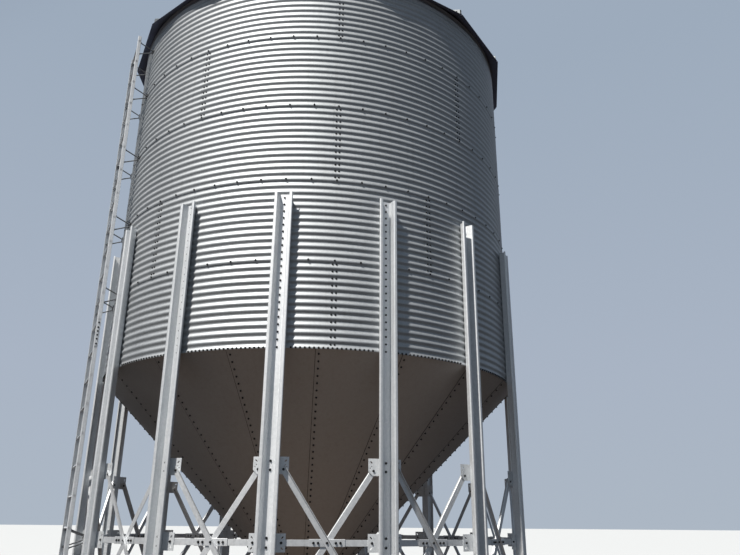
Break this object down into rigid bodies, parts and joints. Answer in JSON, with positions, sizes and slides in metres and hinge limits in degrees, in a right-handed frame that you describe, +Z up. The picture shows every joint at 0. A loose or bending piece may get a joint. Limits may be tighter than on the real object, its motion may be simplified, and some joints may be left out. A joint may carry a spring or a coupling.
{
  "type": "hopper-bottomed grain silo",
  "caption": "Round corrugated steel grain silo with a ribbed cone roof and a smooth hopper cone, on a ring of braced steel legs, with a wall ladder and a slide gate outlet.",
  "frame": {"origin": "on the ground, under the middle of the whole silo's plan", "axes": "+Z up, -Y towards the front leg, +X to the right seen from the front"},
  "size_m": [4.826, 4.8, 8.2874],
  "materials": {
    "wall_sheet": "corrugated galvanised sheet, lightly spangled",
    "roof_sheet": "galvanised sheet, lightly spangled",
    "hopper_panel": "smooth galvanised plate, dull",
    "leg_steel": "galvanised rolled section, satin",
    "brace_steel": "galvanised rolled section, satin",
    "ladder_steel": "galvanised rolled section, satin",
    "outlet_steel": "galvanised plate, satin"
  },
  "bodies": {
    "root": {"leg_01": "leg_steel", "brace_bay_01": "brace_steel", "leg_02": "leg_steel", "brace_bay_02": "brace_steel", "leg_03": "leg_steel", "brace_bay_03": "brace_steel", "leg_04": "leg_steel", "brace_bay_04": "brace_steel", "leg_05": "leg_steel", "brace_bay_05": "brace_steel", "leg_06": "leg_steel", "brace_bay_06": "brace_steel", "leg_07": "leg_steel", "brace_bay_07": "brace_steel", "leg_08": "leg_steel", "brace_bay_08": "brace_steel", "leg_09": "leg_steel", "brace_bay_09": "brace_steel", "leg_10": "leg_steel", "brace_bay_10": "brace_steel", "leg_11": "leg_steel", "brace_bay_11": "brace_steel", "leg_12": "leg_steel", "brace_bay_12": "brace_steel", "leg_13": "leg_steel", "brace_bay_13": "brace_steel", "leg_14": "leg_steel", "brace_bay_14": "brace_steel", "leg_15": "leg_steel", "brace_bay_15": "brace_steel", "wall_ring_1": "wall_sheet", "wall_ring_2": "wall_sheet", "wall_ring_3": "wall_sheet", "wall_ring_4": "wall_sheet", "wall_ring_5": "wall_sheet", "hopper_cone": "hopper_panel", "outlet_collar": "outlet_steel", "slide_gate": "outlet_steel", "gate_rail_left": "outlet_steel", "gate_rail_right": "outlet_steel", "roof": "roof_sheet", "peak_collar": "roof_sheet", "fill_lid": "roof_sheet", "ladder_lower": "ladder_steel", "ladder_upper": "ladder_steel"}
  },
  "joints": []
}
